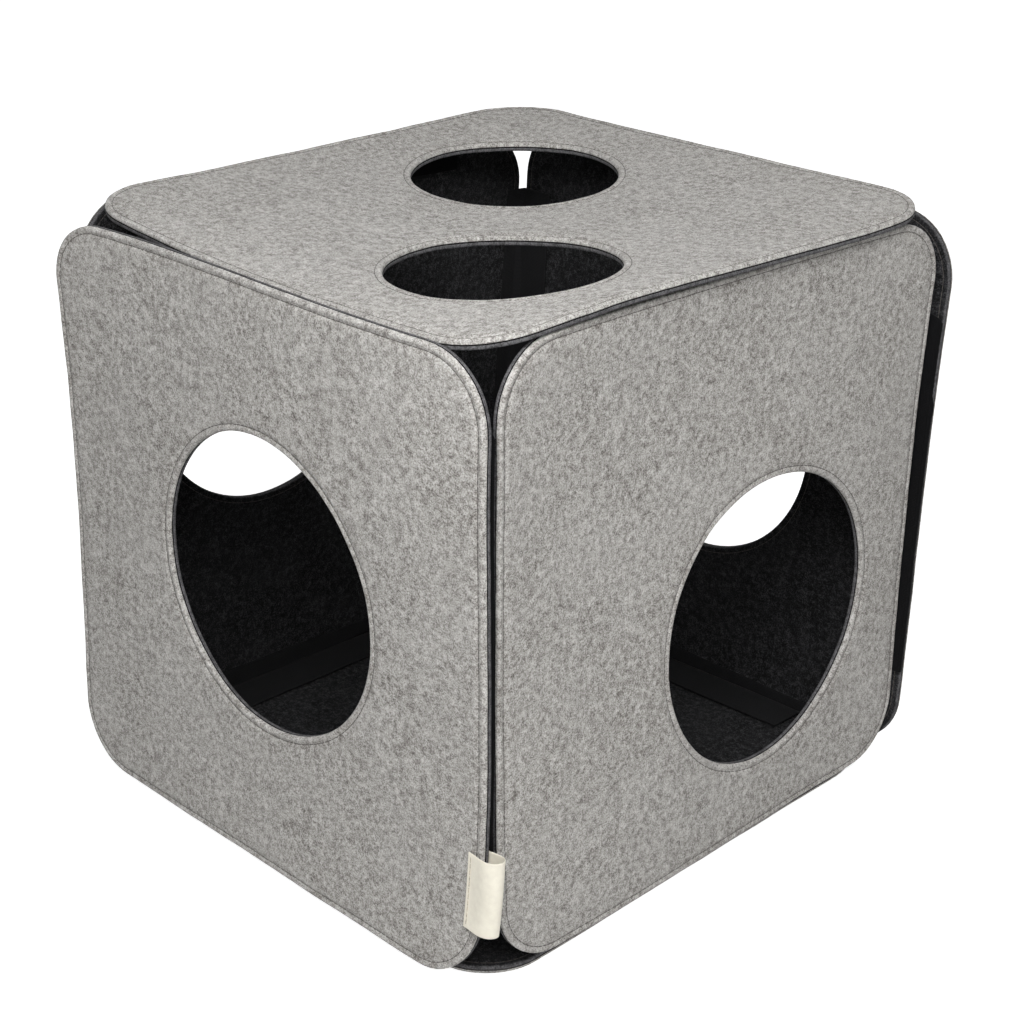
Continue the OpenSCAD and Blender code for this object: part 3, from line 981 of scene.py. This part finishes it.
# Operators
class CATCONDO_OT_stage(bpy.types.Operator):
    """Makes the camera, the lamps, the pale floor and the white surround"""

    bl_idname = "catcondo.stage"
    bl_label = "Stage and Camera"

    def execute(self, context):
        scene = context.scene
        scene.view_settings.view_transform = "Standard"
        self.camera(scene)
        self.floor()
        self.surround(scene)
        for lamp in LAMPS:
            hang_lamp(lamp)
        return {"FINISHED"}

    def camera(self, scene):
        """The photograph's view: a long lens from above the near corner."""
        data = bpy.data.cameras.new("camera")
        data.sensor_width = CAMERA_SENSOR
        data.lens = CAMERA_LENS
        data.shift_x, data.shift_y = CAMERA_SHIFT
        camera = bpy.data.objects.new("camera", data)
        scene.collection.objects.link(camera)
        level = math.cos(CAMERA_ELEVATION)
        back = Vector((math.sin(CAMERA_AZIMUTH) * level, -math.cos(CAMERA_AZIMUTH) * level,
                       math.sin(CAMERA_ELEVATION)))
        right = Vector((math.cos(CAMERA_AZIMUTH), math.sin(CAMERA_AZIMUTH), 0))
        axes = Matrix((right, back.cross(right), back)).transposed()
        turned = axes @ Matrix.Rotation(CAMERA_ROLL, 3, "Z")
        place = Vector((0, 0, CUBE_HALF)) + CAMERA_DISTANCE * back
        camera.matrix_world = Matrix.Translation(place) @ turned.to_4x4()
        scene.camera = camera

    def floor(self):
        """A pale floor that falls away round the condo, where its soft walls are laid down."""
        bm = bmesh.new()
        bmesh.ops.create_grid(bm, x_segments=1, y_segments=1, size=FLOOR_HALF)
        middle = bm.faces[:]
        for inset in (FLOOR_HALF - PANEL_HALF - FLOOR_STEP, 2 * FLOOR_STEP):
            bmesh.ops.inset_region(bm, faces=middle, thickness=inset, use_boundary=True,
                                   use_even_offset=True)
        lower = [v for v in bm.verts if v not in middle[0].verts]
        bmesh.ops.translate(bm, vec=(0, 0, -FLOOR_DROP), verts=lower)
        material, tree, shader = new_material("pale_floor", {"Roughness": 0.9})
        path = add_node(tree, "ShaderNodeLightPath")
        shader.inputs["Base Color"].default_value = FLOOR_TONE
        shader.inputs["Emission Color"].default_value = WHITE
        glow = calc(tree, "MULTIPLY", path.outputs["Is Camera Ray"], FLOOR_GLOW)
        tree.links.new(glow, shader.inputs["Emission Strength"])
        floor = finish_piece(bm, "pale_floor", material)
        floor.data.shade_flat()
        floor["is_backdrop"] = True

    def surround(self, scene):
        """A white surround to look at, which lights the condo only a little."""
        world = bpy.data.worlds.new("soft_surround")
        scene.world = world
        world.use_nodes = True
        tree = world.node_tree
        path = add_node(tree, "ShaderNodeLightPath")
        seen = calc(tree, "MAXIMUM", path.outputs["Is Camera Ray"], path.outputs["Is Glossy Ray"])
        seen = calc(tree, "MAXIMUM", seen, path.outputs["Is Transmission Ray"])
        strength = add_node(tree, "ShaderNodeMapRange", {"Value": seen, "To Min": WORLD_LIGHT, "To Max": 1.0})
        light = tree.nodes["Background"]
        light.inputs["Color"].default_value = WHITE
        tree.links.new(strength.outputs["Result"], light.inputs["Strength"])


class CATCONDO_OT_felt(bpy.types.Operator):
    """Cuts the outer and inner felt ply of each panel and seats them on the cube"""

    bl_idname = "catcondo.felt"
    bl_label = "Felt Plies"

    def execute(self, context):
        for panel in FACES:
            inner = felt_ply(panel, False, finish_of("charcoal_felt"))
            outer = felt_ply(panel, True, finish_of("heather_felt"))
            declare_ply(panel)
            declare_ply(panel)
        return {"FINISHED"}


class CATCONDO_OT_seams(bpy.types.Operator):
    """Sews each panel's two plies together round its edge and its openings"""

    bl_idname = "catcondo.seams"
    bl_label = "Seams"

    def execute(self, context):
        for panel in FACES:
            seam(panel, finish_of("sewing_thread"))
        return {"FINISHED"}


class CATCONDO_OT_loop_strips(bpy.types.Operator):
    """Lays the strips of loop tape inside the panels' edges"""

    bl_idname = "catcondo.loop_strips"
    bl_label = "Loop Strips"

    def execute(self, context):
        tape = finish_of("lining_tape")
        for wall in WALLS:
            loop_strip(wall, TOP, f"{wall}_top_loop", tape)
        for name, edge in (("front", TOP), ("right", RIGHT), ("back", BOTTOM), ("left", LEFT)):
            loop_strip("floor", edge, f"floor_{name}_loop", tape)
        for wall, right, left in (("front_wall", RIGHT, LEFT), ("back_wall", LEFT, RIGHT)):
            loop_strip(wall, right, f"{wall}_right_loop", tape)
            loop_strip(wall, left, f"{wall}_left_loop", tape)
        return {"FINISHED"}


class CATCONDO_OT_flaps(bpy.types.Operator):
    """Folds the hook flaps into the corners that open, each on the panel that it is sewn to"""

    bl_idname = "catcondo.flaps"
    bl_label = "Hook Flaps"

    def execute(self, context):
        s = sizes()
        for panel, edge, other, other_edge, node, slide, fold_in in (
                ("right_wall", LEFT, "front_wall", RIGHT, "right_wall_front_flap", -s.near_flap_lift, 0.0),
                ("right_wall", RIGHT, "back_wall", LEFT, "right_wall_back_flap", 0.0, 0.0),
                ("left_wall", RIGHT, "front_wall", LEFT, "left_wall_front_flap", 0.0, 0.0),
                ("left_wall", LEFT, "back_wall", RIGHT, FAR_FLAP, -s.far_flap_lift, 0.0),
                ("roof", BOTTOM, "front_wall", TOP, "roof_front_flap", 0.0, 0.0),
                ("roof", RIGHT, "right_wall", TOP, "roof_right_flap", 0.0, s.roof_flap_in),
                ("roof", LEFT, "left_wall", TOP, "roof_left_flap", 0.0, 0.0)):
            tape = finish_of("lining_tape" if node == FAR_FLAP else "hook_tape")
            pull, drop = (FAR_FOLD_PULL, s.far_flap_drop) if node == FAR_FLAP else (FOLD_PULL, 0.0)
            piece, _ = flap(panel, edge, other, other_edge, f"{node}_tape", [node], tape,
                            slide, fold_in, pull, drop)
            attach(piece, panel)
        return {"FINISHED"}


class CATCONDO_OT_hinges(bpy.types.Operator):
    """Folds the hook flaps that act as hinges, each bending between two panels"""

    bl_idname = "catcondo.hinges"
    bl_label = "Hinge Flaps"

    def execute(self, context):
        for wall, edge in zip(WALLS, (TOP, RIGHT, BOTTOM, LEFT)):
            side = wall.split("_")[0]
            self.hinge(wall, BOTTOM, "floor", edge, f"{wall}_hinge",
                       [f"{wall}_hinge_leaf", f"floor_{side}_hinge_leaf"])
        self.hinge("roof", TOP, "back_wall", TOP, "roof_hinge", ["roof_hinge_leaf", "back_wall_roof_leaf"])
        return {"FINISHED"}

    def hinge(self, panel, edge, other, other_edge, name, nodes):
        """One hinge flap, which bends square to the edge that its panel turns on."""
        piece, rows = flap(panel, edge, other, other_edge, name, nodes, finish_of("lining_tape"))
        start = Vector(rows[LEAF_STEPS - 2].mean(0))
        end = Vector(rows[LEAF_STEPS + FOLD_STEPS].mean(0))
        bend = end - start
        bend -= bend.project(Vector(FACES[panel].across))
        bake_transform(piece)


class CATCONDO_OT_label(bpy.types.Operator):
    """Folds the ribbon label round the front wall's edge and sews it down"""

    bl_idname = "catcondo.label"
    bl_label = "Ribbon Label"

    def execute(self, context):
        s = sizes()
        inner = -s.outer_t - s.inner_t
        front_end = PANEL_HALF - s.label_front
        rear_end = PANEL_HALF - s.label_rear
        loop = [(PANEL_HALF + across * MM, out * MM) for across, out in LABEL_LOOP]
        ends = (front_end, s.ribbon_t), (rear_end, inner - s.ribbon_t)
        path = smooth_path([ends[0], *loop, ends[1]], LABEL_PATH_STEPS)
        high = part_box("label")[1].z - CUBE_HALF
        low = high - s.label_h
        heights = np.linspace(low, high, LABEL_STEPS + 1)
        rows = []
        for k, (across, out) in enumerate(path):
            free = math.sin(math.pi * k / (len(path) - 1))
            sway = LABEL_SWAY * free * np.sin(heights / LABEL_SWAY_REACH + LABEL_SWAY_DRIFT * k)
            rows.append(seated("front_wall", np.stack([across + sway, heights, out + sway], 1)))
        ribbon, width = strip("label_ribbon_loop", rows, s.ribbon_t, finish_of("woven_ribbon"))
        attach(ribbon, "front_wall")
        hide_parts("label")
        self.stitches(front_end, rear_end, low, high)
        return {"FINISHED"}

    def stitches(self, front_end, rear_end, low, high):
        """The short seams that hold the ribbon's two ends."""
        s = sizes()
        inset = s.label_seam
        run = high - low - 2 * inset
        count = round(run / s.stitch_pitch)
        lift = LABEL_STITCH_LIFT * s.ribbon_t
        ends = (front_end + inset, lift), (rear_end + inset, -s.outer_t - s.inner_t - lift)
        places = []
        for across, out in ends:
            for k in range(count):
                up = low + inset + (k + 0.5) * run / count
                places.append((Vector((across, up, out)), 0.0))
        piece = finish_piece(sew(places), "label_seam", finish_of("label_thread"))
        set_points(piece.data, seated("front_wall", get_points(piece.data)))
        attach(piece, "front_wall")
        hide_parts("label_stitch")


class CATCONDO_PT_build(bpy.types.Panel):
    """Lists the steps that build the cat condo"""

    bl_idname = "CATCONDO_PT_build"
    bl_label = "Felt Cat Condo"
    bl_space_type = "VIEW_3D"
    bl_region_type = "UI"
    bl_category = "Cat Condo"

    def draw(self, context):
        for step in STEPS:
            self.layout.operator(step.bl_idname)


STEPS = (
    CATCONDO_OT_stage,
    CATCONDO_OT_felt,
    CATCONDO_OT_seams,
    CATCONDO_OT_loop_strips,
    CATCONDO_OT_flaps,
    CATCONDO_OT_hinges,
    CATCONDO_OT_label,
)
CLASSES = (CatCondoSizes, CatCondoColours, *SEATS.values(), CatCondoSeats, *STEPS, CATCONDO_PT_build)


def register():
    """Adds the add-on's classes and settings."""
    for cls in CLASSES:
        bpy.utils.register_class(cls)
    bpy.types.Scene.cat_condo_sizes = PointerProperty(type=CatCondoSizes)
    bpy.types.Scene.cat_condo_colours = PointerProperty(type=CatCondoColours)
    bpy.types.Scene.cat_condo_seats = PointerProperty(type=CatCondoSeats)


def unregister():
    """Takes the add-on's settings and classes away."""
    del bpy.types.Scene.cat_condo_seats
    del bpy.types.Scene.cat_condo_colours
    del bpy.types.Scene.cat_condo_sizes
    for cls in reversed(CLASSES):
        bpy.utils.unregister_class(cls)


def main():
    """Builds the condo and its stage, and writes the sizes of the solids and of the visual model."""
    register()
    bpy.ops.catcondo.stage()
    bpy.ops.catcondo.felt()
    bpy.ops.catcondo.seams()
    bpy.ops.catcondo.loop_strips()
    bpy.ops.catcondo.flaps()
    bpy.ops.catcondo.hinges()
    bpy.ops.catcondo.label()
    boxes = {"cad": CAD_BOX, "visual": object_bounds()}
    {name: [list(corner) for corner in box] for name, box in boxes.items()}


if __name__ == "__main__":
    main()
